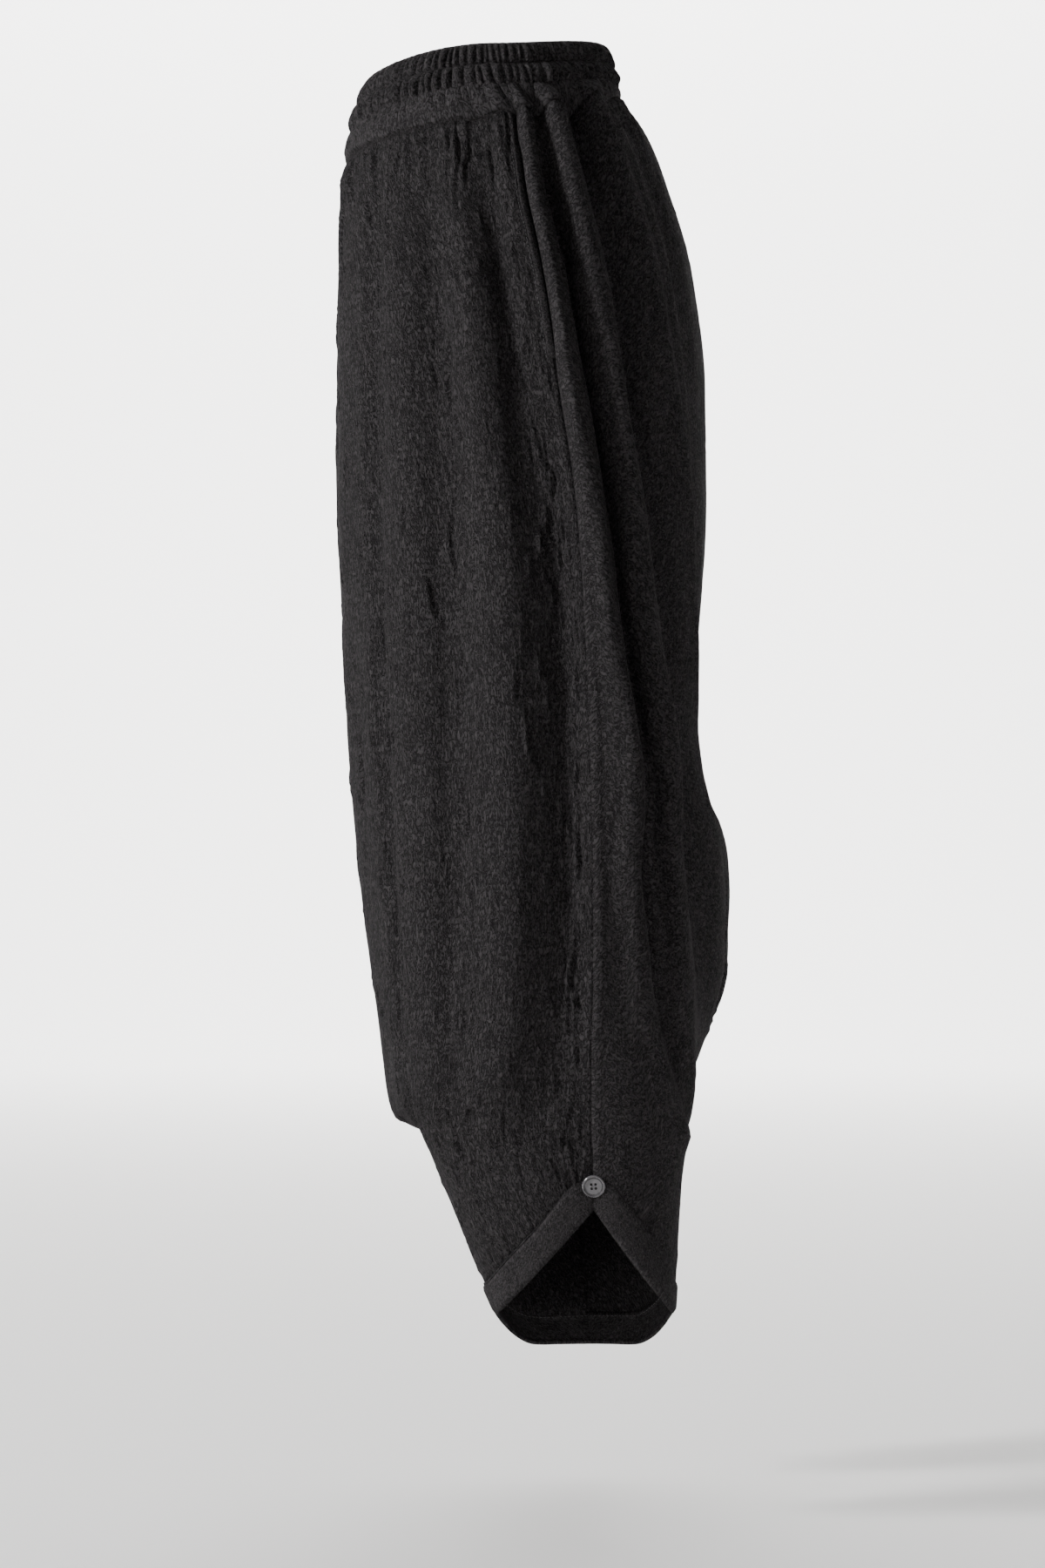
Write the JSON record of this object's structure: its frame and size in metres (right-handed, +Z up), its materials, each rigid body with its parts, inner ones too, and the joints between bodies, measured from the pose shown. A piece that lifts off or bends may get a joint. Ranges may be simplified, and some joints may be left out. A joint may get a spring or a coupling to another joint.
{
  "type": "harem trousers",
  "caption": "Black harem trousers as worn: a wide drop-crotch sack gathered into a yoke and an elastic waistband, side pockets, and curved hems buttoned up at the side.",
  "frame": {"origin": "middle of the elastic waistband, where the wearer's waist holds the trousers", "axes": "+Z up, +X the wearer's left, -Y the wearer's front"},
  "size_m": [0.504, 0.3129, 1.0263],
  "materials": {
    "panel_cloth": "matt black crepe",
    "yoke_cloth": "matt black crepe",
    "waistband_cloth": "matt black crepe, gathered on elastic",
    "hem_cloth": "matt black crepe, pressed smooth",
    "button_resin": "semi-gloss dark grey"
  },
  "bodies": {
    "root": {"waistband": "waistband_cloth", "yoke": "yoke_cloth", "front_left": "panel_cloth", "front_right": "panel_cloth", "back_left": "panel_cloth", "back_right": "panel_cloth", "hem_front_left": "hem_cloth", "hem_front_right": "hem_cloth", "hem_back_left": "hem_cloth", "hem_back_right": "hem_cloth", "pocket_edge_left": "panel_cloth", "pocket_edge_right": "panel_cloth", "button_left": "button_resin", "button_right": "button_resin"}
  },
  "joints": []
}
